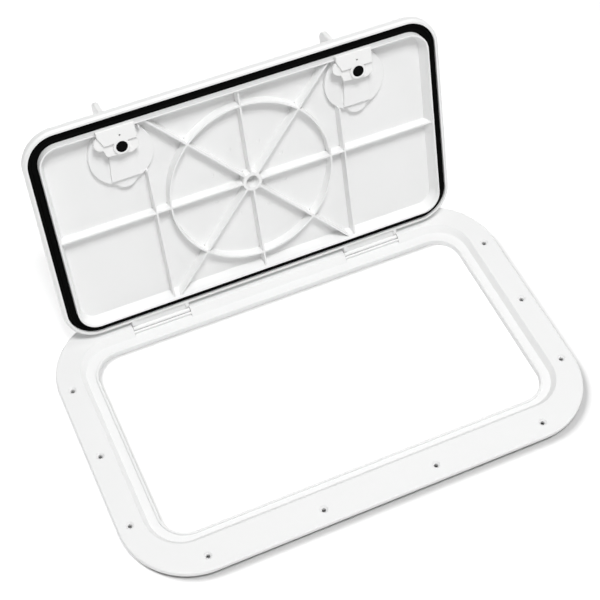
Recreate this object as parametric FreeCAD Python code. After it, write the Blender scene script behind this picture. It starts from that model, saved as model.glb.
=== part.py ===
"""Deck inspection hatch: a flanged frame with a hinged, gasketed lid and two turning latches.

Millimetres. The origin is the middle of the frame on the deck surface, which is the underside of
the flange. +X runs along the hinge, +Y points from the opening to the hinge and +Z points up.
The lid is modelled shut and then swung open to the angle at which it rests.
"""

import FreeCAD
import Part
import math
import os

# Deck frame
OPENING_LENGTH = 505.0
OPENING_WIDTH = 272.0
OPENING_CORNER = 33.0
FLANGE_END_BREADTH = 51.0
FLANGE_SIDE_BREADTH = 57.0
FLANGE_CORNER_GROWTH = 55.0
FLANGE_HEIGHT = 6.0
FLANGE_WALL = 3.0
FLANGE_EDGE_ROUND = 2.0
COAMING_WALL = 3.0
COAMING_DEPTH = 7.0
COAMING_LIP_HEIGHT = 1.5
COAMING_LIP_CHAMFER = 0.7
SEAT_DROP = 7.0
SEAT_WALL = 3.0
SEAT_SLOPE_RUN = 6.0
SEAT_REAR_SLOPE_RUN = 8.0
SEAT_REAR_ROOM = 3.5

# Screw holes of the flange, all empty, measured inwards from its edges
SCREW_HOLE_RADIUS = 2.6
COUNTERSINK_RADIUS = 5.0
SCREW_BOSS_RADIUS = 8.0
END_HOLE_INSET = 15.5
END_HOLE_CORNER_INSET = 91.5
SIDE_HOLE_INSET = 19.0
SIDE_HOLE_CORNER_INSET = 83.9
SIDE_HOLE_INNER_INSET = 229.8

# Lid
LID_END_OVERLAP = 15.5
LID_SIDE_OVERLAP = 12.0
LID_CORNER_GROWTH = 10.0
LID_CENTRE_Y = 1.0
LID_DEPTH = 12.0
LID_WALL = 3.0
LID_EDGE_ROUND = 2.5
RIM_WIDTH = 5.0
RIM_CHAMFER = 2.5
RIM_OVER_SHELF = 0.8
RIM_CLEARANCE = 0.5
INNER_RIM_HEIGHT = 7.0
INNER_RIM_CREST = 2.0
INNER_RIM_SLOPE_RUN = 5.0
OPEN_ANGLE = 108.0

# Gasket
GASKET_WIDTH = 12.0
GASKET_RECESS = 2.0
GASKET_THICKNESS = 6.0
GASKET_SIDE_CLEARANCE = 0.2
GASKET_LIP_WIDTH = 3.0
GASKET_LIP_HEIGHT = 0.8
GASKET_LIP_INSET = 1.5

# Stiffening web inside the lid
RIB_HEIGHT = 13.0
RIB_CREST = 2.2
RIB_ROOT = 3.4
SIDE_RIB_INSET = 142.0
DIAGONAL_END_INSET = 147.0
RING_RIB_INSET = 41.0
HUB_RADIUS = 12.5
HUB_BORE_CREST_RADIUS = 8.3
HUB_BORE_ROOT_RADIUS = 6.3
EJECTOR_MARK_RADIUS = 2.4
EJECTOR_MARK_DEPTH = 0.4
EJECTOR_CIRCLE_RADIUS = 50.0
EJECTOR_COUNT = 8

# Hinge
HINGE_INSET = 119.7
HINGE_STANDOFF = 11.2
HINGE_Z = 2.6
KNUCKLE_LENGTH = 76.6
KNUCKLE_RADIUS = 3.0
KNUCKLE_SIDE_CLEARANCE = 0.5
HINGE_PIN_RADIUS = 1.5
HINGE_PIN_ENGAGEMENT = 8.0
HINGE_PIN_CLEARANCE = 0.05
HINGE_BOSS_WALL = 3.0
HINGE_LAND_LENGTH = 3.0
HINGE_LAND_HEIGHT = 2.4
HINGE_RUNNING_GAP = 0.4
HINGE_POCKET_REAR_ROOM = 1.8
HINGE_STOP_GAP = 0.25
HINGE_CHEEK = 4.3
HINGE_CHEEK_REACH = 4.2

# Latch recesses of the lid: the spindle from the lid's edges, the rest from the spindle
LATCH_END_INSET = 116.0
LATCH_FRONT_INSET = 39.0
RECESS_RADIUS = 40.0
RECESS_OFFSET = 18.5
RECESS_DEPTH = 6.0
POCKET_DEPTH = 10.0
POCKET_LENGTH = 50.0
POCKET_HALF_WIDTH_OUTER = 18.4
POCKET_HALF_WIDTH_INNER = 14.5
FINGER_LOBE_RADIUS = 15.0
FINGER_LOBE_REACH = 64.0

# Latch spindle
SPINDLE_RADIUS = 6.0
SPINDLE_CLEARANCE = 0.1
SPINDLE_HUB_RADIUS = 10.5
SPINDLE_HEAD_RADIUS = 16.5
SPINDLE_HEAD_THICKNESS = 3.0
SPINDLE_RUNNING_GAP = 0.3
SPINDLE_DRIVE_HALF_FLAT = 4.5
SPINDLE_DRIVE_LENGTH = 3.2
EAR_THICKNESS = 4.5
EAR_RADIUS = 4.5
SEAL_RADIUS = 9.0
SEAL_THICKNESS = 1.5
SEAL_RUNNING_GAP = 0.1
WASHER_RADIUS = 11.0
WASHER_THICKNESS = 1.0

# Latch lever
LEVER_LENGTH = 64.0
LEVER_END_RADIUS = 13.2
LEVER_THICKNESS = 6.5
LEVER_NECK_WIDTH = 14.0
LEVER_NECK_LENGTH = 14.0
LEVER_SIDE_CLEARANCE = 0.3
LEVER_FACE_GAP = 1.35
LEVER_LEAN = -1.5
LEVER_EDGE_CHAMFER = 1.0
LEVER_PIN_RADIUS = 1.5
LEVER_PIN_CLEARANCE = 0.05

# Latch cam
CAM_PLATE_THICKNESS = 5.5
CAM_RIM_GAP = 0.5
CAM_BODY_RADIUS = 14.0
CAM_BOSS_RADIUS = 10.2
CAM_OPENING_CLEARANCE = 1.2
CAM_HOOK = 4.0
CAM_PLATE_START = 6.0
CAM_PLATE_CORNER = (-27.0, 19.5)
CAM_PLATE_WAIST = -20.5
CAM_PLATE_FAR_SIDE = 20.0
CAM_PLATE_FAR_START = 10.0
CAM_STEP = 3.0
CAM_LOBE_HALF_WIDTH = 9.0
CAM_LOBE_START = 0.0
CAM_NEAR_EAR = ((-22.5, 1.0), (-19.0, -10.0))
CAM_FAR_EAR = ((21.0, -8.0), (12.0, -12.5))
CAM_EDGE_CHAMFER = 0.6
PLUG_RADIUS = 7.0
PLUG_CLEARANCE = 0.1
PLUG_THICKNESS = 2.4
PLUG_STANDOUT = 0.3
CAM_WEB = 2.0
CAM_DIMPLE_RADIUS = 1.2
CAM_DIMPLE_DEPTH = 1.5
CAM_DIMPLE_REACH = 15.5
CAM_SCREW_HEAD_RADIUS = 4.5
CAM_SCREW_HEAD_HEIGHT = 2.8
CAM_SCREW_RADIUS = 2.0
CAM_SCREW_LENGTH = 14.0
CAM_SCREW_CLEARANCE = 0.05

# How far a cutting shape runs past the faces that it cuts
CUT_MARGIN = 2.0

X_AXIS = FreeCAD.Vector(1, 0, 0)
Y_AXIS = FreeCAD.Vector(0, 1, 0)
Z_AXIS = FreeCAD.Vector(0, 0, 1)

# Outlines of the frame and the lid in plan, and the places that follow from them
opening_half_x = OPENING_LENGTH / 2
opening_half_y = OPENING_WIDTH / 2
flange_half_x = opening_half_x + FLANGE_END_BREADTH
flange_half_y = opening_half_y + FLANGE_SIDE_BREADTH
flange_corner = OPENING_CORNER + FLANGE_CORNER_GROWTH
lid_half_x = opening_half_x + LID_END_OVERLAP
lid_half_y = opening_half_y + LID_SIDE_OVERLAP
lid_corner = OPENING_CORNER + LID_CORNER_GROWTH
lid_rear_y = LID_CENTRE_Y + lid_half_y
hinge_x = lid_half_x - HINGE_INSET
hinge_y = lid_rear_y + HINGE_STANDOFF
latch_x = lid_half_x - LATCH_END_INSET
latch_y = LID_CENTRE_Y - lid_half_y + LATCH_FRONT_INSET

# Reach of a cam from its spindle, towards the free edge of the lid
coaming_distance = latch_y + opening_half_y
cam_reach = coaming_distance - CAM_OPENING_CLEARANCE
cam_lobe_reach = coaming_distance + CAM_HOOK

# Heights of the frame
shelf_z = FLANGE_HEIGHT - SEAT_DROP
coaming_bottom_z = -COAMING_DEPTH

# Heights of the shut lid, from the rim crest upwards
rim_z = shelf_z + RIM_OVER_SHELF
lid_face_z = rim_z + LID_DEPTH
panel_z = lid_face_z - LID_WALL
inner_rim_z = rim_z - INNER_RIM_HEIGHT
gasket_face_z = rim_z + GASKET_RECESS
gasket_root_z = gasket_face_z + GASKET_THICKNESS

# Heights at a latch, from the outer face of the lid inwards
recess_floor_z = lid_face_z - RECESS_DEPTH
pocket_floor_z = lid_face_z - POCKET_DEPTH
pocket_inner_z = pocket_floor_z - LID_WALL
lever_pin_z = lid_face_z + LEVER_FACE_GAP + LEVER_THICKNESS / 2
cam_outer_z = inner_rim_z - CAM_RIM_GAP
cam_face_z = cam_outer_z - CAM_PLATE_THICKNESS
cam_body_z = pocket_inner_z - WASHER_THICKNESS - SEAL_RUNNING_GAP
plug_bed_z = cam_face_z + PLUG_THICKNESS - PLUG_STANDOUT
screw_seat_z = plug_bed_z + CAM_SCREW_HEAD_HEIGHT


def point(x, y, z):
    return FreeCAD.Vector(x, y, z)


def rounded_outline(half_x, half_y, corner, z, centre_y=0.0):
    """Closed wire of a rectangle with round corners, level at height z."""
    diagonal = corner * (1 - math.sqrt(0.5))
    edges = []
    corners = ((1, 1), (-1, 1), (-1, -1), (1, -1))
    for index, (sx, sy) in enumerate(corners):
        along_y = point(sx * half_x, centre_y + sy * (half_y - corner), z)
        along_x = point(sx * (half_x - corner), centre_y + sy * half_y, z)
        middle = point(sx * (half_x - diagonal), centre_y + sy * (half_y - diagonal), z)
        first, last = (along_y, along_x) if index % 2 == 0 else (along_x, along_y)
        if edges:
            edges.append(Part.makeLine(edges[-1].Vertexes[-1].Point, first))
        edges.append(Part.Arc(first, middle, last).toShape())
    edges.append(Part.makeLine(edges[-1].Vertexes[-1].Point, edges[0].Vertexes[0].Point))
    return Part.Wire(edges)


def rounded_prism(half_x, half_y, corner, bottom, top, centre_y=0.0):
    """Upright block with a round-cornered outline."""
    outline = rounded_outline(half_x, half_y, corner, bottom, centre_y)
    return Part.Face(outline).extrude(Z_AXIS * (top - bottom))


def cylinder(radius, bottom, top, x=0.0, y=0.0):
    """Upright cylinder between two heights."""
    return Part.makeCylinder(radius, top - bottom, point(x, y, bottom))


def box(x_range, y_range, z_range):
    """Block between three pairs of limits."""
    (x0, x1), (y0, y1), (z0, z1) = x_range, y_range, z_range
    return Part.makeBox(x1 - x0, y1 - y0, z1 - z0, point(x0, y0, z0))


def level_edges(shape, z):
    """Edges of a shape that lie wholly at one height."""
    tolerance = 1e-4
    bounds = [(edge, edge.BoundBox) for edge in shape.Edges]
    return [edge for edge, b in bounds if abs(b.ZMin - z) < tolerance and abs(b.ZMax - z) < tolerance]


def swing_open(shape):
    """Turn a piece of the lid from shut to the angle at which the lid rests open."""
    opened = shape.copy()
    opened.rotate(point(0, hinge_y, HINGE_Z), X_AXIS, -OPEN_ANGLE)
    return opened


def outward_half_sizes(margin):
    """Half length, half width and corner radius of the opening, grown by a margin."""
    return opening_half_x + margin, opening_half_y + margin, OPENING_CORNER + margin


def flange_half_sizes(inset):
    """Half length, half width and corner radius of the flange, inset by a distance."""
    return flange_half_x - inset, flange_half_y - inset, flange_corner - inset


def lid_half_sizes(inset):
    """Half length, half width and corner radius of the lid's outline, inset by a distance."""
    return lid_half_x - inset, lid_half_y - inset, lid_corner - inset


def seat_outlines(wall):
    """Wires of the sloping seat wall, at the shelf and at the flange, grown outwards by a wall."""
    half_x, half_y, corner = lid_half_sizes(RIM_CHAMFER - RIM_CLEARANCE - wall)
    front = LID_CENTRE_Y - half_y
    rear = LID_CENTRE_Y + half_y + SEAT_REAR_ROOM - RIM_CLEARANCE
    low_z = shelf_z - wall
    high_z = FLANGE_HEIGHT - wall
    low = rounded_outline(half_x, (rear - front) / 2, corner, low_z, (rear + front) / 2)
    front -= SEAT_SLOPE_RUN
    rear += SEAT_REAR_SLOPE_RUN
    half_x += SEAT_SLOPE_RUN
    corner += SEAT_SLOPE_RUN
    high = rounded_outline(half_x, (rear - front) / 2, corner, high_z, (rear + front) / 2)
    return low, high


def screw_hole_centres():
    """The fourteen holes: three on each short side and four on each long side."""
    end_x = flange_half_x - END_HOLE_INSET
    end_y = flange_half_y - END_HOLE_CORNER_INSET
    side_y = flange_half_y - SIDE_HOLE_INSET
    outer_x = flange_half_x - SIDE_HOLE_CORNER_INSET
    inner_x = flange_half_x - SIDE_HOLE_INNER_INSET
    ends = [(sx * end_x, y) for sx in (-1, 1) for y in (-end_y, 0, end_y)]
    return ends + [(x, sy * side_y) for sy in (-1, 1) for x in (-outer_x, -inner_x, inner_x, outer_x)]


def hinge_span(side, margin=0.0):
    """Limits along X of one knuckle, grown at both ends."""
    half = KNUCKLE_LENGTH / 2 + margin
    return side * hinge_x - half, side * hinge_x + half


def make_frame():
    """Flange, sloping seat, shelf and coaming in one moulding, hollow underneath round its bosses."""
    flange = rounded_prism(*flange_half_sizes(0), 0, FLANGE_HEIGHT)
    flange = flange.makeFillet(FLANGE_EDGE_ROUND, level_edges(flange, FLANGE_HEIGHT))
    tub = Part.makeLoft(list(seat_outlines(SEAT_WALL)), True, True)
    seat = Part.makeLoft(list(seat_outlines(0)), True, True)

    pocket_front = hinge_y - KNUCKLE_RADIUS - HINGE_RUNNING_GAP
    pocket_rear = hinge_y + KNUCKLE_RADIUS + HINGE_POCKET_REAR_ROOM
    pocket_floor = HINGE_Z - KNUCKLE_RADIUS - HINGE_RUNNING_GAP
    land_front = pocket_front - HINGE_LAND_LENGTH
    boss_end = HINGE_PIN_ENGAGEMENT + HINGE_BOSS_WALL
    boss_y = (land_front, pocket_rear + HINGE_BOSS_WALL)
    boss_z = (pocket_floor - HINGE_BOSS_WALL, FLANGE_HEIGHT)
    hinge_bosses = [box(hinge_span(side, boss_end), boss_y, boss_z) for side in (-1, 1)]

    hollow = rounded_prism(*flange_half_sizes(FLANGE_WALL), 0, FLANGE_HEIGHT - FLANGE_WALL)
    screw_bosses = [cylinder(SCREW_BOSS_RADIUS, 0, FLANGE_HEIGHT, x, y) for x, y in screw_hole_centres()]
    hollow = hollow.cut([tub] + screw_bosses + hinge_bosses)

    frame = flange.cut(hollow).fuse([tub] + hinge_bosses).cut(seat)
    coaming_top = shelf_z + CUT_MARGIN
    coaming = rounded_prism(*outward_half_sizes(COAMING_WALL), coaming_bottom_z, coaming_top)
    lip = rounded_prism(*outward_half_sizes(COAMING_WALL), coaming_bottom_z, COAMING_LIP_HEIGHT)
    opening = rounded_prism(*outward_half_sizes(0), coaming_bottom_z, FLANGE_HEIGHT)
    lip = lip.cut(opening)
    lip = lip.makeChamfer(COAMING_LIP_CHAMFER, level_edges(lip, COAMING_LIP_HEIGHT))
    frame = frame.cut(coaming).fuse(lip)

    cuts = []
    for side in (-1, 1):
        span = hinge_span(side, KNUCKLE_SIDE_CLEARANCE)
        above = FLANGE_HEIGHT + CUT_MARGIN
        seat_rear = lid_rear_y - RIM_CHAMFER
        cuts.append(box(span, (pocket_front, pocket_rear), (pocket_floor, above)))
        cuts.append(box(span, (seat_rear, land_front), (shelf_z, above)))
        cuts.append(box(span, (land_front, pocket_front), (HINGE_LAND_HEIGHT, above)))
        bore_start = hinge_span(side, HINGE_PIN_ENGAGEMENT)[0]
        bore_length = KNUCKLE_LENGTH + 2 * HINGE_PIN_ENGAGEMENT
        cuts.append(Part.makeCylinder(HINGE_PIN_RADIUS + HINGE_PIN_CLEARANCE, bore_length,
                                      point(bore_start, hinge_y, HINGE_Z), X_AXIS))
    sink_depth = COUNTERSINK_RADIUS - SCREW_HOLE_RADIUS
    for x, y in screw_hole_centres():
        cuts.append(cylinder(SCREW_HOLE_RADIUS, -CUT_MARGIN, FLANGE_HEIGHT, x, y))
        sink = Part.makeCone(SCREW_HOLE_RADIUS, COUNTERSINK_RADIUS, sink_depth)
        sink.translate(point(x, y, FLANGE_HEIGHT - sink_depth))
        cuts.append(sink)
    return frame.cut(cuts).removeSplitter()


def rib_section(across, base):
    """Tapered cross-section of a rib at a base point, thicker at the panel than at its crest."""
    crest = Z_AXIS * (panel_z - RIB_HEIGHT)
    root = Z_AXIS * (panel_z + LID_WALL / 2)
    taper = (RIB_ROOT - RIB_CREST) / 2 / RIB_HEIGHT
    root_half = RIB_ROOT / 2 + taper * LID_WALL / 2
    corners = [base + crest - across * (RIB_CREST / 2), base + crest + across * (RIB_CREST / 2),
               base + root + across * root_half, base + root - across * root_half]
    return Part.Face(Part.makePolygon(corners + corners[:1]))


def straight_rib(start, end):
    """Rib between two places on the panel."""
    a = point(start[0], start[1], 0)
    run = point(end[0], end[1], 0) - a
    along = FreeCAD.Vector(run).normalize()
    return rib_section(along.cross(Z_AXIS), a).extrude(run)


def make_web(inside):
    """Straight, diagonal and ring ribs round the hub, trimmed to the inside of the lid."""
    front_y = LID_CENTRE_Y - lid_half_y
    side_rib_x = lid_half_x - SIDE_RIB_INSET
    ribs = [straight_rib((-lid_half_x, LID_CENTRE_Y), (lid_half_x, LID_CENTRE_Y))]
    ribs += [straight_rib((x, front_y), (x, lid_rear_y)) for x in (-side_rib_x, 0, side_rib_x)]
    reach = lid_half_y / (lid_half_y - RIM_WIDTH - GASKET_WIDTH)
    for sx in (-1, 1):
        end_x = sx * (lid_half_x - DIAGONAL_END_INSET) * reach
        ribs.append(straight_rib((-end_x, front_y), (end_x, lid_rear_y)))
    centre = point(lid_half_y - RING_RIB_INSET, LID_CENTRE_Y, 0)
    ring = rib_section(X_AXIS, centre).revolve(point(0, LID_CENTRE_Y, 0), Z_AXIS, 360)
    web = ribs[0].fuse(ribs[1:] + [ring])
    discs = [cylinder(RECESS_RADIUS, inner_rim_z, panel_z, *recess_centre(side)) for side in (-1, 1)]
    return web.common(inside).cut(discs)


def recess_centre(side):
    return side * latch_x, latch_y + RECESS_OFFSET


def pocket_prism(side, wall, bottom, top):
    """Tapering pocket under the lever, round about the spindle and square at its inboard end."""
    x = side * latch_x
    near = POCKET_HALF_WIDTH_INNER - wall
    far = POCKET_HALF_WIDTH_OUTER - wall
    end = latch_y + POCKET_LENGTH - wall
    left = point(x - near, latch_y, bottom)
    right = point(x + near, latch_y, bottom)
    round_end = Part.Arc(left, point(x, latch_y - near, bottom), right).toShape()
    sides = Part.makePolygon([right, point(x + far, end, bottom), point(x - far, end, bottom), left])
    return Part.Face(Part.Wire([round_end] + sides.Edges)).extrude(Z_AXIS * (top - bottom))


def recess_forms(side, wall, shift):
    """Round dish, finger lobe and deep pocket of one latch, as solids that reach the outer face."""
    top = lid_face_z + shift
    x, y = recess_centre(side)
    lobe_y = latch_y + FINGER_LOBE_REACH - FINGER_LOBE_RADIUS
    dish_z = recess_floor_z - wall * LID_WALL
    deep_z = pocket_floor_z - wall * LID_WALL
    inset = (1 - wall) * LID_WALL
    return [cylinder(RECESS_RADIUS - inset, dish_z, top, x, y),
            cylinder(FINGER_LOBE_RADIUS - inset, dish_z, top, x, lobe_y),
            pocket_prism(side, inset, deep_z, top)]


def make_knuckle(side):
    """Arm, heel, end cheeks and barrel of one hinge, along the rear wall of the shut lid."""
    turn = math.radians(OPEN_ANGLE)
    stop_rise = FLANGE_HEIGHT - HINGE_Z + HINGE_STOP_GAP
    heel_rise = lid_face_z - HINGE_Z
    heel_y = hinge_y - (stop_rise - heel_rise * math.cos(turn)) / math.sin(turn)
    crook = KNUCKLE_RADIUS + HINGE_POCKET_REAR_ROOM - HINGE_RUNNING_GAP
    crook_y = hinge_y + crook * math.cos(turn) - stop_rise * math.sin(turn)
    crook_z = HINGE_Z + crook * math.sin(turn) + stop_rise * math.cos(turn)
    under_z = HINGE_LAND_HEIGHT + HINGE_RUNNING_GAP
    wall_y = lid_rear_y - RIM_WIDTH / 2
    x0, x1 = hinge_span(side)
    profile = [(wall_y, under_z), (hinge_y, under_z), (hinge_y, HINGE_Z + KNUCKLE_RADIUS),
               (crook_y, crook_z), (heel_y, lid_face_z - LID_EDGE_ROUND),
               (heel_y - LID_EDGE_ROUND, lid_face_z), (wall_y, lid_face_z)]
    corners = [point(x0, y, z) for y, z in profile]
    arm = Part.Face(Part.makePolygon(corners + corners[:1])).extrude(X_AXIS * (x1 - x0))
    barrel = Part.makeCylinder(KNUCKLE_RADIUS, x1 - x0, point(x0, hinge_y, HINGE_Z), X_AXIS)
    cheek_y = (lid_rear_y - RIM_WIDTH, lid_rear_y + HINGE_CHEEK_REACH)
    cheek_z = (rim_z, under_z + LID_WALL / 2)
    cheeks = [box((x0, x0 + HINGE_CHEEK), cheek_y, cheek_z), box((x1 - HINGE_CHEEK, x1), cheek_y, cheek_z)]
    return arm.fuse([barrel] + cheeks)


def make_lid():
    """Panel, outer rim, gasket channel, inner rim, ribs, hub, latch recesses and hinge knuckles."""
    shell = rounded_prism(*lid_half_sizes(0), rim_z, lid_face_z, LID_CENTRE_Y)
    shell = shell.makeFillet(LID_EDGE_ROUND, level_edges(shell, lid_face_z))
    shell = shell.makeChamfer(RIM_CHAMFER, level_edges(shell, rim_z))
    inner_rim_inset = RIM_WIDTH + GASKET_WIDTH + GASKET_SIDE_CLEARANCE
    channel = rounded_prism(*lid_half_sizes(RIM_WIDTH), rim_z, gasket_root_z, LID_CENTRE_Y)
    inner_rim = rounded_prism(*lid_half_sizes(inner_rim_inset), inner_rim_z, panel_z, LID_CENTRE_Y)
    crest_inset = inner_rim_inset + INNER_RIM_CREST
    crest_outline = rounded_outline(*lid_half_sizes(crest_inset), inner_rim_z, LID_CENTRE_Y)
    root_outline = rounded_outline(*lid_half_sizes(crest_inset + INNER_RIM_SLOPE_RUN), panel_z, LID_CENTRE_Y)
    inside = Part.makeLoft([crest_outline, root_outline], True, True)

    hub_z = panel_z - RIB_HEIGHT
    hub = cylinder(HUB_RADIUS, hub_z, panel_z + LID_WALL / 2, 0, LID_CENTRE_Y)
    bore = Part.makeCone(HUB_BORE_CREST_RADIUS, HUB_BORE_ROOT_RADIUS, RIB_HEIGHT,
                         point(0, LID_CENTRE_Y, hub_z), Z_AXIS)
    deep = [form for side in (-1, 1) for form in recess_forms(side, 1, -LID_WALL / 2)]
    knuckles = [make_knuckle(side) for side in (-1, 1)]
    lid = shell.cut(channel).fuse(inner_rim).cut(inside)
    lid = lid.fuse([make_web(inside), hub] + deep)
    lid = lid.fuse(knuckles)

    cuts = [bore]
    cuts += [form for side in (-1, 1) for form in recess_forms(side, 0, CUT_MARGIN)]
    for side in (-1, 1):
        cuts.append(cylinder(SPINDLE_RADIUS + SPINDLE_CLEARANCE, pocket_inner_z - CUT_MARGIN,
                             pocket_floor_z + CUT_MARGIN, side * latch_x, latch_y))
        cuts.append(Part.makeCylinder(HINGE_PIN_RADIUS + HINGE_PIN_CLEARANCE, KNUCKLE_LENGTH,
                                      point(hinge_span(side)[0], hinge_y, HINGE_Z), X_AXIS))
    for index in range(EJECTOR_COUNT):
        angle = (index + 0.5) * 2 * math.pi / EJECTOR_COUNT
        cuts.append(cylinder(EJECTOR_MARK_RADIUS, panel_z - CUT_MARGIN, panel_z + EJECTOR_MARK_DEPTH,
                             EJECTOR_CIRCLE_RADIUS * math.cos(angle),
                             LID_CENTRE_Y + EJECTOR_CIRCLE_RADIUS * math.sin(angle)))
    return lid.cut(cuts).removeSplitter()


def gasket_ring(outer_inset, width, bottom, top):
    """One band of the gasket, measured inwards from the wall of its channel."""
    outer = rounded_prism(*lid_half_sizes(RIM_WIDTH + outer_inset), bottom, top, LID_CENTRE_Y)
    inner = rounded_prism(*lid_half_sizes(RIM_WIDTH + outer_inset + width), bottom, top, LID_CENTRE_Y)
    return outer.cut(inner)


def make_gasket():
    """Soft ring with two raised lips, the inner one over the coaming."""
    base_z = gasket_face_z + GASKET_LIP_HEIGHT
    base = gasket_ring(GASKET_SIDE_CLEARANCE, GASKET_WIDTH - GASKET_SIDE_CLEARANCE, base_z, gasket_root_z)
    lips = []
    for inset in (GASKET_LIP_INSET, GASKET_WIDTH - GASKET_LIP_INSET - GASKET_LIP_WIDTH):
        lip = gasket_ring(inset, GASKET_LIP_WIDTH, gasket_face_z, base_z)
        lips.append(lip.makeChamfer(GASKET_LIP_HEIGHT / 2, level_edges(lip, gasket_face_z)))
    return base.fuse(lips).removeSplitter()


def make_hinge_pin(side):
    """Steel pin through one knuckle and into the frame at both ends."""
    start = hinge_span(side, HINGE_PIN_ENGAGEMENT)[0]
    length = KNUCKLE_LENGTH + 2 * HINGE_PIN_ENGAGEMENT
    return Part.makeCylinder(HINGE_PIN_RADIUS, length, point(start, hinge_y, HINGE_Z), X_AXIS)


def make_spindle(side):
    """Turned stem with a hub, a round head and two ears that hold the lever."""
    x = side * latch_x
    hub_z = pocket_floor_z + SEAL_THICKNESS + SEAL_RUNNING_GAP
    head_z = recess_floor_z + SPINDLE_RUNNING_GAP
    head_top = head_z + SPINDLE_HEAD_THICKNESS
    drive_z = cam_body_z - SPINDLE_DRIVE_LENGTH
    stem = cylinder(SPINDLE_RADIUS, cam_body_z, hub_z, x, latch_y)
    drive = cylinder(SPINDLE_RADIUS, drive_z, cam_body_z, x, latch_y)
    flat = SPINDLE_DRIVE_HALF_FLAT
    drive = drive.common(box((x - flat, x + flat), (latch_y - SPINDLE_RADIUS, latch_y + SPINDLE_RADIUS),
                             (drive_z, cam_body_z)))
    hub = cylinder(SPINDLE_HUB_RADIUS, hub_z, head_z, x, latch_y)
    head = cylinder(SPINDLE_HEAD_RADIUS, head_z, head_top, x, latch_y)
    head = head.makeChamfer(SPINDLE_HEAD_THICKNESS / 3, level_edges(head, head_top))
    ear_start = LEVER_NECK_WIDTH / 2 + LEVER_SIDE_CLEARANCE
    ears = []
    for sy in (-1, 1):
        low = latch_y + sy * ear_start if sy > 0 else latch_y - ear_start - EAR_THICKNESS
        ear = Part.makeCylinder(EAR_RADIUS, EAR_THICKNESS, point(x, low, lever_pin_z), Y_AXIS)
        foot = box((x - EAR_RADIUS, x + EAR_RADIUS), (low, low + EAR_THICKNESS), (head_z, lever_pin_z))
        ears += [ear, foot]
    spindle = stem.fuse([drive, hub, head] + ears)
    screw_top = screw_seat_z + CAM_SCREW_LENGTH + CAM_SCREW_CLEARANCE
    screw_bore = cylinder(CAM_SCREW_RADIUS + CAM_SCREW_CLEARANCE, drive_z - CUT_MARGIN, screw_top, x, latch_y)
    pin_length = 2 * (ear_start + EAR_THICKNESS)
    pin_bore = Part.makeCylinder(LEVER_PIN_RADIUS + LEVER_PIN_CLEARANCE, pin_length,
                                 point(x, latch_y - pin_length / 2, lever_pin_z), Y_AXIS)
    return spindle.cut([screw_bore, pin_bore]).removeSplitter()


def lever_outline(side, level_x, shrink):
    """Wire of the upright lever in a plane across X: narrow neck, widening sides and a round end."""
    x = side * latch_x + level_x
    neck = LEVER_NECK_WIDTH / 2 - shrink
    end = LEVER_END_RADIUS - shrink
    end_z = lever_pin_z + LEVER_LENGTH
    shoulder_z = lever_pin_z + LEVER_NECK_LENGTH
    round_end = Part.Arc(point(x, latch_y + end, end_z), point(x, latch_y, end_z + end),
                         point(x, latch_y - end, end_z)).toShape()
    sides = Part.makePolygon([point(x, latch_y - end, end_z), point(x, latch_y - neck, shoulder_z),
                              point(x, latch_y - neck, lever_pin_z), point(x, latch_y + neck, lever_pin_z),
                              point(x, latch_y + neck, shoulder_z), point(x, latch_y + end, end_z)])
    return Part.Wire([round_end] + sides.Edges)


def make_lever(side):
    """Flat finger lever with bevelled edges, standing up from its cross pin."""
    x = side * latch_x
    half = LEVER_THICKNESS / 2
    neck = LEVER_NECK_WIDTH / 2
    flank = half - LEVER_EDGE_CHAMFER
    levels = ((-half, LEVER_EDGE_CHAMFER), (-flank, 0), (flank, 0), (half, LEVER_EDGE_CHAMFER))
    blade = Part.makeLoft([lever_outline(side, level, shrink) for level, shrink in levels], True, True)
    root = Part.makeCylinder(EAR_RADIUS, LEVER_NECK_WIDTH, point(x, latch_y - neck, lever_pin_z), Y_AXIS)
    root = root.common(box((x - half, x + half), (latch_y - neck, latch_y + neck),
                           (lever_pin_z - EAR_RADIUS, lever_pin_z + EAR_RADIUS)))
    bore = Part.makeCylinder(LEVER_PIN_RADIUS + LEVER_PIN_CLEARANCE, LEVER_NECK_WIDTH,
                             point(x, latch_y - neck, lever_pin_z), Y_AXIS)
    lever = blade.fuse(root).cut(bore).removeSplitter()
    lever.rotate(point(x, latch_y, lever_pin_z), Y_AXIS, LEVER_LEAN)
    return lever


def make_lever_pin(side):
    """Cross pin through both ears and the lever."""
    half = LEVER_NECK_WIDTH / 2 + LEVER_SIDE_CLEARANCE + EAR_THICKNESS
    start = point(side * latch_x, latch_y - half, lever_pin_z)
    return Part.makeCylinder(LEVER_PIN_RADIUS, 2 * half, start, Y_AXIS)


def make_washer(side, outer_radius, bottom, top):
    """Flat ring round the stem of one spindle."""
    x = side * latch_x
    ring = cylinder(outer_radius, bottom, top, x, latch_y)
    return ring.cut(cylinder(SPINDLE_RADIUS + SPINDLE_CLEARANCE, bottom, top, x, latch_y))


def make_spindle_seal(side):
    return make_washer(side, SEAL_RADIUS, pocket_floor_z, pocket_floor_z + SEAL_THICKNESS)


def make_spindle_washer(side):
    return make_washer(side, WASHER_RADIUS, pocket_inner_z - WASHER_THICKNESS, pocket_inner_z)


def cam_prism(side, outline, bottom, top):
    """Block with a straight-sided outline of (x, reach towards the free edge) places from the spindle."""
    corners = [point(side * latch_x + x, latch_y - reach, bottom) for x, reach in outline]
    return Part.Face(Part.makePolygon(corners + corners[:1])).extrude(Z_AXIS * (top - bottom))


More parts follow.
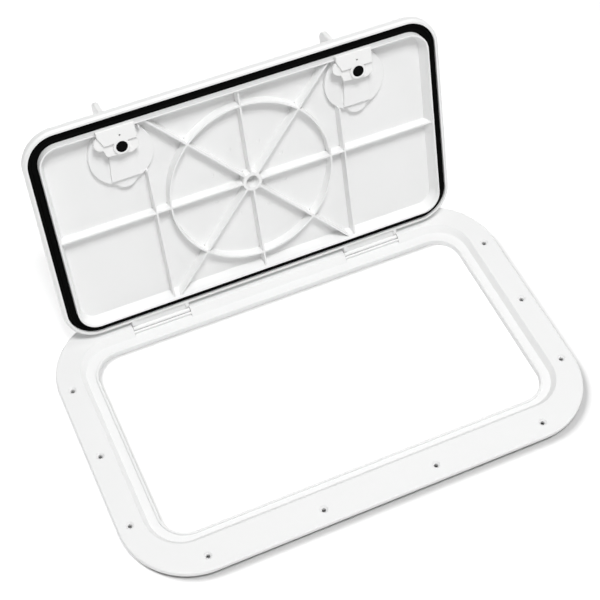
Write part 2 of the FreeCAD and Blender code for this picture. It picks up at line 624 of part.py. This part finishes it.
def cam_lobe(side, bottom, top):
    """Round-ended tongue that goes under the frame's shelf when the cam is turned to the free edge."""
    x = side * latch_x
    centre = CAM_LOBE_START + CAM_LOBE_HALF_WIDTH
    tip = x - cam_lobe_reach + CAM_LOBE_HALF_WIDTH
    tongue = box((tip, x), (latch_y - centre - CAM_LOBE_HALF_WIDTH, latch_y - centre + CAM_LOBE_HALF_WIDTH),
                 (bottom, top))
    return tongue.fuse(cylinder(CAM_LOBE_HALF_WIDTH, bottom, top, tip, latch_y - centre))


def make_cam(side):
    """Turning block: a plate up to the inner rim, a boss, two lower ears and the locking lobe."""
    x = side * latch_x
    near_x, near_y = CAM_PLATE_CORNER
    plate_outline = [(near_x, near_y), (CAM_PLATE_WAIST, CAM_PLATE_START),
                     (CAM_PLATE_FAR_SIDE, CAM_PLATE_START), (CAM_PLATE_FAR_SIDE, cam_reach),
                     (near_x, cam_reach)]
    ear_outline = [*CAM_NEAR_EAR, *reversed(CAM_FAR_EAR), (CAM_FAR_EAR[0][0], CAM_PLATE_FAR_START),
                   (CAM_PLATE_WAIST, CAM_PLATE_FAR_START)]
    step_z = cam_face_z + CAM_STEP
    plate = cam_prism(side, plate_outline, cam_face_z, cam_outer_z)
    plate = plate.makeChamfer(CAM_EDGE_CHAMFER, level_edges(plate, cam_face_z))
    boss = cylinder(CAM_BOSS_RADIUS, cam_face_z, cam_outer_z, x, latch_y)
    boss = boss.makeChamfer(CAM_EDGE_CHAMFER, level_edges(boss, cam_face_z))
    ears = cam_prism(side, ear_outline, step_z, cam_outer_z)
    ears = ears.makeChamfer(CAM_EDGE_CHAMFER, level_edges(ears, step_z))
    body = cylinder(CAM_BODY_RADIUS, cam_outer_z, cam_body_z, x, latch_y)
    cam = plate.fuse([boss, ears, cam_lobe(side, step_z, cam_outer_z), body])
    socket_top = cam_body_z + CUT_MARGIN
    socket_floor = screw_seat_z + CAM_WEB
    socket = cylinder(SPINDLE_RADIUS + SPINDLE_CLEARANCE, socket_floor, socket_top, x, latch_y)
    flat = SPINDLE_DRIVE_HALF_FLAT + SPINDLE_CLEARANCE
    reach = SPINDLE_RADIUS + CUT_MARGIN
    flats = box((x - flat, x + flat), (latch_y - reach, latch_y + reach), (socket_floor, socket_top))
    socket = socket.common(flats)
    plug_bed = cylinder(PLUG_RADIUS + PLUG_CLEARANCE, cam_face_z - CUT_MARGIN, plug_bed_z, x, latch_y)
    head_bed = cylinder(CAM_SCREW_HEAD_RADIUS + CAM_SCREW_CLEARANCE, plug_bed_z, screw_seat_z, x, latch_y)
    screw_hole = cylinder(CAM_SCREW_RADIUS + CAM_SCREW_CLEARANCE, screw_seat_z, socket_floor, x, latch_y)
    dimple = cylinder(CAM_DIMPLE_RADIUS, cam_face_z, cam_face_z + CAM_DIMPLE_DEPTH,
                      x, latch_y - CAM_DIMPLE_REACH)
    return cam.cut([socket, plug_bed, head_bed, screw_hole, dimple]).removeSplitter()


def make_cam_plug(side):
    return cylinder(PLUG_RADIUS, cam_face_z - PLUG_STANDOUT, plug_bed_z, side * latch_x, latch_y)


def make_cam_screw(side):
    """Screw from inside the hatch through the cam into the spindle."""
    x = side * latch_x
    head = cylinder(CAM_SCREW_HEAD_RADIUS, plug_bed_z, screw_seat_z, x, latch_y)
    shank = cylinder(CAM_SCREW_RADIUS, screw_seat_z, screw_seat_z + CAM_SCREW_LENGTH, x, latch_y)
    return head.fuse(shank).removeSplitter()


def main():
    os.makedirs("parts", exist_ok=True)
    solids = {"frame": make_frame(), "lid": swing_open(make_lid()), "gasket": swing_open(make_gasket())}
    latch_makers = {"spindle": make_spindle, "lever": make_lever, "lever_pin": make_lever_pin,
                    "spindle_seal": make_spindle_seal, "spindle_washer": make_spindle_washer,
                    "cam": make_cam, "cam_plug": make_cam_plug, "cam_screw": make_cam_screw}
    for word, side in (("left", -1), ("right", 1)):
        solids["hinge_pin_" + word] = make_hinge_pin(side)
        for name, maker in latch_makers.items():
            solids[name + "_" + word] = swing_open(maker(side))
    for name, solid in solids.items():
        solid.exportStep("parts/" + name + ".step")


main()
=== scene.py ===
import bpy
import math
from mathutils import Matrix, Vector


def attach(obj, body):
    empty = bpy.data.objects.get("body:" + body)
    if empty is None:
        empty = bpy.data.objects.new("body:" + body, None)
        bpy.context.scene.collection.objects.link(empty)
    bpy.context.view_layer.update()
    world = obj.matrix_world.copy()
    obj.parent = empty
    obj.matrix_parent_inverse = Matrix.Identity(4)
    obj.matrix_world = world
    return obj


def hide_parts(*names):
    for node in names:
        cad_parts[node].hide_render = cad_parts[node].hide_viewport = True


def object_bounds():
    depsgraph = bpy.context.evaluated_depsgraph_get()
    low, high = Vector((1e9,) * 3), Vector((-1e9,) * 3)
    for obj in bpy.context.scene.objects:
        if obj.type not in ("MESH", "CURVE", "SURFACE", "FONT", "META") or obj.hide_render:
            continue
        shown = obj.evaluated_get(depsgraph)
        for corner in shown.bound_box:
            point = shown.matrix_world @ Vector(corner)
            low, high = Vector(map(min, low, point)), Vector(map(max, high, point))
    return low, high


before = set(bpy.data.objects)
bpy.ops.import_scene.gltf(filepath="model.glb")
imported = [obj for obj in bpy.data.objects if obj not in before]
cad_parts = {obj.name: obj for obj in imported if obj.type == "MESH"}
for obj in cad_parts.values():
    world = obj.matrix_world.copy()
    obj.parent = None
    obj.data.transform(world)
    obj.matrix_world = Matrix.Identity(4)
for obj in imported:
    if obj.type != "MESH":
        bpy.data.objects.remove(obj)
CAD_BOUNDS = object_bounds()

# Camera, fitted to the photographed frame and lid: metres and degrees, lens and sensor in mm
CAMERA_AZIMUTH = -24.71
CAMERA_ELEVATION = 53.651
CAMERA_ROLL = 0.629
CAMERA_DISTANCE = 1.89148
CAMERA_TARGET = (0.025073, 0.113953, 0.006)
CAMERA_LENS = 87.99
SENSOR_WIDTH = 36.0

# Floor and sky of the studio, in metres: PAINT and LIGHT are what falls back on the hatch,
# SEEN is what the camera and reflections see
FLOOR_SIZE = 12.0
FLOOR_PAINT = (0.60, 0.60, 0.60)
FLOOR_SEEN = (0.62, 0.62, 0.62)
FLOOR_WHITE_FROM = 0.8
FLOOR_WHITE_AT = 1.5
WORLD_LIGHT = 0.31
WORLD_SEEN = 1.0
CAMERA_REACH = 2 * FLOOR_SIZE

# Lamps: place and side in metres, power in watts
KEY_PLACE = (1.90, 0.10, 3.55)
KEY_SIZE = 0.7
KEY_POWER = 14.0
TOP_PLACE = (0.05, -0.95, 3.85)
TOP_SIZE = 1.0
TOP_POWER = 104.0
FILL_PLACE = (0.0, -3.80, 0.90)
FILL_SIZE = 2.4
FILL_POWER = 3.0
FLOOR_LAMP_PLACE = (-2.00, 1.70, 3.30)
FLOOR_LAMP_SIZE = 2.2
FLOOR_LAMP_POWER = 230.0
LAMP_AIM = (0.0, 0.05, 0.05)

# Soft break on moulded edges, in metres
EDGE_SAMPLES = 4
EDGE_SOFTNESS = 0.0005

# Shade in narrow gaps: REACH in metres, SHUT and OPEN are the openness, from 0 to 1, between
# which the shade fades out, and GAP_SHADE is the share of its own colour a gap keeps
CREVICE_SAMPLES = 8
CREVICE_REACH = 0.004
CREVICE_SHUT = 0.12
CREVICE_OPEN = 0.46
GAP_SHADE = 0.06

# Cloudiness and grain of a moulded surface
CLOUD_DETAIL = 3.0
GRAIN_DETAIL = 2.0
GRAIN_STRENGTH = 0.5

# Gasket where the shut lid holds it, and the hinge it swings open on, in metres and degrees
HINGE_AXIS = (0.0, 0.1602, 0.0026)
OPEN_ANGLE = 108.0
LID_CENTRE_Y = 0.001
GASKET_HALF_LENGTH = 0.2628
GASKET_HALF_WIDTH = 0.1428
GASKET_CORNER = 0.0378
GASKET_CORNER_STEPS = 14
GASKET_FACE_Z = 0.0018
GASKET_ROOT_Z = 0.0078
GASKET_CREASE_ANGLE = 50.0
BAND_FACE_SIDES = 4

# Gasket profile from its outer wall inwards: how far each ring steps in,
# and how far it stands below the face
GASKET_PROFILE = (
    (0.0004, 0.0012), (0.0010, 0.0008), (0.0006, 0.0008), (0.0005, 0.0003),
    (0.0006, 0.0000), (0.0008, 0.0000), (0.0006, 0.0003), (0.0005, 0.0009),
    (0.0014, 0.0011), (0.0014, 0.0009), (0.0005, 0.0003), (0.0006, 0.0000),
    (0.0008, 0.0000), (0.0006, 0.0003), (0.0005, 0.0008), (0.0006, 0.0008),
    (0.0004, 0.0012))

# Finishes. Cloud and grain are patches per metre, tint and swing are how far the colour
# and the roughness stray, and depth is the height of the grain in metres.
FRAME_WHITE = dict(colour=(0.85, 0.852, 0.85), roughness=0.48, specular=0.36, metallic=0.0,
                   cloud=7.0, grain=1400.0, tint=0.010, swing=0.05, depth=0.00002)
LID_WHITE = dict(colour=(0.85, 0.852, 0.85), roughness=0.46, specular=0.36, metallic=0.0,
                 cloud=11.0, grain=1100.0, tint=0.016, swing=0.06, depth=0.00004)
CAM_WHITE = dict(colour=(0.88, 0.88, 0.875), roughness=0.40, specular=0.36, metallic=0.0,
                 cloud=60.0, grain=1500.0, tint=0.012, swing=0.05, depth=0.00003)
LEVER_WHITE = dict(colour=(0.84, 0.84, 0.835), roughness=0.32, specular=0.36, metallic=0.0,
                   cloud=40.0, grain=1600.0, tint=0.012, swing=0.04, depth=0.00002)
GASKET_BLACK = dict(colour=(0.0025, 0.0025, 0.0025), roughness=0.62, specular=0.02, metallic=0.0,
                    cloud=30.0, grain=2200.0, tint=0.25, swing=0.08, depth=0.00006)
PLUG_BLACK = dict(colour=(0.003, 0.003, 0.003), roughness=0.55, specular=0.02, metallic=0.0,
                  cloud=80.0, grain=2400.0, tint=0.20, swing=0.06, depth=0.00004)
WASHER_GREY = dict(colour=(0.62, 0.61, 0.58), roughness=0.50, specular=0.5, metallic=0.0,
                   cloud=50.0, grain=1800.0, tint=0.02, swing=0.05, depth=0.00003)
PIN_STEEL = dict(colour=(0.62, 0.61, 0.59), roughness=0.28, specular=0.5, metallic=1.0,
                 cloud=90.0, grain=2600.0, tint=0.04, swing=0.08, depth=0.00002)


def make_moulding_group():
    """Faint cloudiness and fine grain of an injection moulded surface."""
    group = bpy.data.node_groups.new("moulding", "ShaderNodeTree")
    group.interface.new_socket("Vector", in_out="INPUT", socket_type="NodeSocketVector")
    source = group.nodes.new("NodeGroupInput")
    sink = group.nodes.new("NodeGroupOutput")
    for label, detail in (("Cloud", CLOUD_DETAIL), ("Grain", GRAIN_DETAIL)):
        group.interface.new_socket(label + " Size", in_out="INPUT", socket_type="NodeSocketFloat")
        group.interface.new_socket(label, in_out="OUTPUT", socket_type="NodeSocketFloat")
        noise = group.nodes.new("ShaderNodeTexNoise")
        noise.inputs["Detail"].default_value = detail
        group.links.new(source.outputs["Vector"], noise.inputs["Vector"])
        group.links.new(source.outputs[label + " Size"], noise.inputs["Scale"])
        group.links.new(noise.outputs["Fac"], sink.inputs[label])
    return group


def make_crevice_group():
    """Mask for painted shade that is 1 deep inside narrow gaps and 0 on open surfaces and in
    plain corners.
    """
    group = bpy.data.node_groups.new("crevice", "ShaderNodeTree")
    group.interface.new_socket("Mask", in_out="OUTPUT", socket_type="NodeSocketFloat")
    sink = group.nodes.new("NodeGroupOutput")
    openness = group.nodes.new("ShaderNodeAmbientOcclusion")
    openness.samples = CREVICE_SAMPLES
    openness.inputs["Distance"].default_value = CREVICE_REACH
    mask = group.nodes.new("ShaderNodeMapRange")
    mask.interpolation_type = "SMOOTHSTEP"
    mask.inputs["From Min"].default_value = CREVICE_SHUT
    mask.inputs["From Max"].default_value = CREVICE_OPEN
    mask.inputs["To Min"].default_value = 1.0
    mask.inputs["To Max"].default_value = 0.0
    group.links.new(openness.outputs["AO"], mask.inputs["Value"])
    group.links.new(mask.outputs["Result"], sink.inputs["Mask"])
    return group


def scaled(colour, factor):
    """A colour made darker or lighter, as a shader socket takes it."""
    return (*(min(1.0, channel * factor) for channel in colour), 1.0)


def surface_material(name, moulding, crevice, finish):
    """Material whose colour, roughness and normal vary as a moulded or ground surface does, with
    painted shade that darkens its colour inside narrow gaps.
    """
    material = bpy.data.materials.new(name)
    material.use_nodes = True
    nodes = material.node_tree.nodes
    links = material.node_tree.links
    shader = nodes["Principled BSDF"]
    shader.inputs["Metallic"].default_value = finish["metallic"]
    shader.inputs["Specular IOR Level"].default_value = finish["specular"]
    place = nodes.new("ShaderNodeTexCoord")
    detail = nodes.new("ShaderNodeGroup")
    detail.node_tree = moulding
    detail.inputs["Cloud Size"].default_value = finish["cloud"]
    detail.inputs["Grain Size"].default_value = finish["grain"]
    links.new(place.outputs["Object"], detail.inputs["Vector"])

    shade = nodes.new("ShaderNodeMix")
    shade.data_type = "RGBA"
    shade.inputs["A"].default_value = scaled(finish["colour"], 1 - finish["tint"])
    shade.inputs["B"].default_value = scaled(finish["colour"], 1 + finish["tint"])
    links.new(detail.outputs["Cloud"], shade.inputs["Factor"])
    gap = nodes.new("ShaderNodeGroup")
    gap.node_tree = crevice
    # Painted shade: inside narrow gaps the colour darkens to GAP_SHADE of the surface's own
    # colour
    painted_gap_shade = nodes.new("ShaderNodeMix")
    painted_gap_shade.data_type = "RGBA"
    painted_gap_shade.inputs["B"].default_value = scaled(finish["colour"], GAP_SHADE)
    links.new(gap.outputs["Mask"], painted_gap_shade.inputs["Factor"])
    links.new(shade.outputs["Result"], painted_gap_shade.inputs["A"])
    links.new(painted_gap_shade.outputs["Result"], shader.inputs["Base Color"])

    gloss = nodes.new("ShaderNodeMapRange")
    gloss.inputs["To Min"].default_value = finish["roughness"] - finish["swing"]
    gloss.inputs["To Max"].default_value = finish["roughness"] + finish["swing"]
    links.new(detail.outputs["Cloud"], gloss.inputs["Value"])
    links.new(gloss.outputs["Result"], shader.inputs["Roughness"])

    softened = nodes.new("ShaderNodeBevel")
    softened.samples = EDGE_SAMPLES
    softened.inputs["Radius"].default_value = EDGE_SOFTNESS
    bump = nodes.new("ShaderNodeBump")
    bump.inputs["Distance"].default_value = finish["depth"]
    bump.inputs["Strength"].default_value = GRAIN_STRENGTH
    links.new(softened.outputs["Normal"], bump.inputs["Normal"])
    links.new(detail.outputs["Grain"], bump.inputs["Height"])
    links.new(bump.outputs["Normal"], shader.inputs["Normal"])
    return material


def make_materials():
    """The finish of each kind of piece, by the name of its node without left or right."""
    groups = (make_moulding_group(), make_crevice_group())
    frame_white = surface_material("frame_gloss_white", *groups, FRAME_WHITE)
    lid_white = surface_material("lid_satin_white", *groups, LID_WHITE)
    cam_white = surface_material("latch_block_white", *groups, CAM_WHITE)
    lever_white = surface_material("lever_gloss_white", *groups, LEVER_WHITE)
    rubber = surface_material("gasket_black_rubber", *groups, GASKET_BLACK)
    plug = surface_material("plug_black", *groups, PLUG_BLACK)
    washer = surface_material("washer_natural", *groups, WASHER_GREY)
    steel = surface_material("bright_steel", *groups, PIN_STEEL)
    return {"frame": frame_white, "lid": lid_white, "gasket": rubber, "hinge_pin": steel,
            "lever_pin": steel, "cam_screw": steel, "spindle": lever_white, "lever": lever_white,
            "spindle_seal": rubber, "spindle_washer": washer, "cam": cam_white, "cam_plug": plug}


def dress_nodes(materials):
    """Give every piece of the hatch the finish of its kind."""
    for name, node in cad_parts.items():
        kind = name.replace("_left", "").replace("_right", "")
        node.data.materials.clear()
        node.data.materials.append(materials[kind])


def make_gasket(rubber):
    """Black sealing strip in the lid's channel: two rounded lips and a valley between."""
    bpy.ops.mesh.primitive_plane_add(size=2.0, location=(0, 0, 0))
    gasket = bpy.context.object
    gasket.name = "gasket_strip"
    bpy.ops.object.mode_set(mode="EDIT")
    bpy.ops.mesh.select_all(action="SELECT")
    bpy.ops.transform.resize(value=(GASKET_HALF_LENGTH, GASKET_HALF_WIDTH, 1))
    bpy.ops.mesh.bevel(offset=GASKET_CORNER, segments=GASKET_CORNER_STEPS, affect="VERTICES")
    bpy.ops.transform.translate(value=(0, LID_CENTRE_Y, GASKET_ROOT_Z))
    bpy.ops.mesh.select_all(action="SELECT")
    height = GASKET_FACE_Z + GASKET_PROFILE[0][1]
    raised = {"value": (0, 0, height - GASKET_ROOT_Z)}
    bpy.ops.mesh.extrude_region_move(TRANSFORM_OT_translate=raised)
    for step, depth in GASKET_PROFILE:
        bpy.ops.mesh.inset(thickness=step, use_even_offset=True)
        bpy.ops.transform.translate(value=(0, 0, GASKET_FACE_Z + depth - height))
        height = GASKET_FACE_Z + depth
    returned = {"value": (0, 0, GASKET_ROOT_Z - height)}
    bpy.ops.mesh.extrude_region_move(TRANSFORM_OT_translate=returned)
    bpy.ops.mesh.select_all(action="DESELECT")
    bpy.ops.mesh.select_face_by_sides(number=BAND_FACE_SIDES, type="GREATER")
    bpy.ops.mesh.delete(type="ONLY_FACE")
    bpy.ops.mesh.select_mode(type="EDGE")
    bpy.ops.mesh.select_non_manifold()
    bpy.ops.mesh.bridge_edge_loops()
    bpy.ops.mesh.select_all(action="SELECT")
    bpy.ops.mesh.normals_make_consistent(inside=False)
    bpy.ops.transform.rotate(value=math.radians(OPEN_ANGLE), orient_axis="X",
                             center_override=HINGE_AXIS)
    bpy.ops.object.mode_set(mode="OBJECT")
    bpy.ops.object.shade_smooth_by_angle(angle=math.radians(GASKET_CREASE_ANGLE))
    gasket.data.materials.append(rubber)
    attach(gasket, "lid")
    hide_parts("gasket")
    return gasket


def seen_as_background(nodes, links):
    """Value that is 1 for what the camera, gloss or glass sees, and 0 for light on the hatch."""
    rays = nodes.new("ShaderNodeLightPath")
    mirrored = nodes.new("ShaderNodeMath")
    mirrored.operation = "MAXIMUM"
    links.new(rays.outputs["Is Glossy Ray"], mirrored.inputs[0])
    links.new(rays.outputs["Is Transmission Ray"], mirrored.inputs[1])
    seen = nodes.new("ShaderNodeMath")
    seen.operation = "MAXIMUM"
    links.new(rays.outputs["Is Camera Ray"], seen.inputs[0])
    links.new(mirrored.outputs["Value"], seen.inputs[1])
    return seen.outputs["Value"]


def make_floor_paper():
    """Matt paper that keeps the hatch's shadow and, where it is seen, turns white farther out."""
    material = bpy.data.materials.new("floor_paper")
    material.use_nodes = True
    nodes = material.node_tree.nodes
    links = material.node_tree.links
    shader = nodes["Principled BSDF"]
    shader.inputs["Roughness"].default_value = 1.0
    shader.inputs["Specular IOR Level"].default_value = 0.0
    seen = seen_as_background(nodes, links)
    paper = nodes.new("ShaderNodeMix")
    paper.data_type = "RGBA"
    paper.inputs["A"].default_value = (*FLOOR_PAINT, 1.0)
    paper.inputs["B"].default_value = (*FLOOR_SEEN, 1.0)
    links.new(seen, paper.inputs["Factor"])
    links.new(paper.outputs["Result"], shader.inputs["Base Color"])

    place = nodes.new("ShaderNodeTexCoord")
    distance = nodes.new("ShaderNodeVectorMath")
    distance.operation = "LENGTH"
    links.new(place.outputs["Object"], distance.inputs[0])
    far = nodes.new("ShaderNodeMapRange")
    far.interpolation_type = "SMOOTHSTEP"
    far.inputs["From Min"].default_value = FLOOR_WHITE_FROM
    far.inputs["From Max"].default_value = FLOOR_WHITE_AT
    links.new(distance.outputs["Value"], far.inputs["Value"])
    plain = nodes.new("ShaderNodeMath")
    plain.operation = "MULTIPLY"
    links.new(far.outputs["Result"], plain.inputs[0])
    links.new(seen, plain.inputs[1])
    white = nodes.new("ShaderNodeEmission")
    backdrop = nodes.new("ShaderNodeMixShader")
    links.new(plain.outputs["Value"], backdrop.inputs["Fac"])
    links.new(shader.outputs["BSDF"], backdrop.inputs[1])
    links.new(white.outputs["Emission"], backdrop.inputs[2])
    links.new(backdrop.outputs["Shader"], nodes["Material Output"].inputs["Surface"])
    return material


def make_floor():
    """Studio floor at the lowest point of the hatch."""
    lowest_z = CAD_BOUNDS[0][2]
    bpy.ops.mesh.primitive_plane_add(size=FLOOR_SIZE, location=(0, 0, lowest_z))
    floor = bpy.context.object
    floor.name = "floor"
    floor.data.materials.append(make_floor_paper())
    return floor


def make_lamp(name, place, size, power):
    """Soft square lamp that looks at the hatch."""
    data = bpy.data.lights.new(name, "AREA")
    data.shape = "SQUARE"
    data.size = size
    data.energy = power
    lamp = bpy.data.objects.new(name, data)
    lamp.location = place
    aim = Vector(LAMP_AIM) - Vector(place)
    lamp.rotation_euler = aim.to_track_quat("-Z", "Y").to_euler()
    bpy.context.scene.collection.objects.link(lamp)
    return lamp


def gather(name, objects):
    """Collection of objects that a lamp is limited to."""
    members = bpy.data.collections.new(name)
    for item in objects:
        members.objects.link(item)
    return members


def make_lamps(floor, gasket_strip):
    """Top and fill lamp for all, a key lamp for the hatch and a lamp for the floor's shadow."""
    hatch = gather("hatch", [*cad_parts.values(), gasket_strip])
    key_lamp = make_lamp("key_lamp", KEY_PLACE, KEY_SIZE, KEY_POWER)
    key_lamp.light_linking.receiver_collection = hatch
    make_lamp("top_lamp", TOP_PLACE, TOP_SIZE, TOP_POWER)
    make_lamp("fill_lamp", FILL_PLACE, FILL_SIZE, FILL_POWER)
    floor_lamp = make_lamp("floor_lamp", FLOOR_LAMP_PLACE, FLOOR_LAMP_SIZE, FLOOR_LAMP_POWER)
    floor_lamp.light_linking.receiver_collection = gather("ground", [floor])
    floor_lamp.light_linking.blocker_collection = gather("deck_frame", [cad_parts["frame"]])


def make_world():
    """Even white sky, dim for the light that falls on the hatch and white where it is seen."""
    world = bpy.data.worlds.new("studio")
    world.use_nodes = True
    nodes = world.node_tree.nodes
    links = world.node_tree.links
    background = nodes["Background"]
    background.inputs["Color"].default_value = (1, 1, 1, 1)
    level = nodes.new("ShaderNodeMapRange")
    level.inputs["To Min"].default_value = WORLD_LIGHT
    level.inputs["To Max"].default_value = WORLD_SEEN
    links.new(seen_as_background(nodes, links), level.inputs["Value"])
    links.new(level.outputs["Result"], background.inputs["Strength"])
    bpy.context.scene.world = world


def make_camera():
    """Camera at the photograph's viewing angle."""
    azimuth = math.radians(CAMERA_AZIMUTH)
    elevation = math.radians(CAMERA_ELEVATION)
    back = Vector((math.sin(azimuth) * math.cos(elevation),
                   -math.cos(azimuth) * math.cos(elevation),
                   math.sin(elevation)))
    right = (-back).cross(Vector((0, 0, 1))).normalized()
    up = back.cross(right)
    turn = Matrix.Rotation(math.radians(CAMERA_ROLL), 3, back)
    axes = Matrix((turn @ right, turn @ up, back)).transposed().to_4x4()
    data = bpy.data.cameras.new("camera")
    data.lens = CAMERA_LENS
    data.sensor_width = SENSOR_WIDTH
    data.clip_end = CAMERA_REACH
    camera = bpy.data.objects.new("camera", data)
    place = Vector(CAMERA_TARGET) + back * CAMERA_DISTANCE
    camera.matrix_world = Matrix.Translation(place) @ axes
    bpy.context.scene.collection.objects.link(camera)
    bpy.context.scene.camera = camera


bpy.ops.object.select_all(action="DESELECT")
make_camera()
make_world()
floor = make_floor()
materials = make_materials()
dress_nodes(materials)
gasket_strip = make_gasket(materials["gasket"])
make_lamps(floor, gasket_strip)
bpy.context.scene.view_settings.view_transform = "Standard"
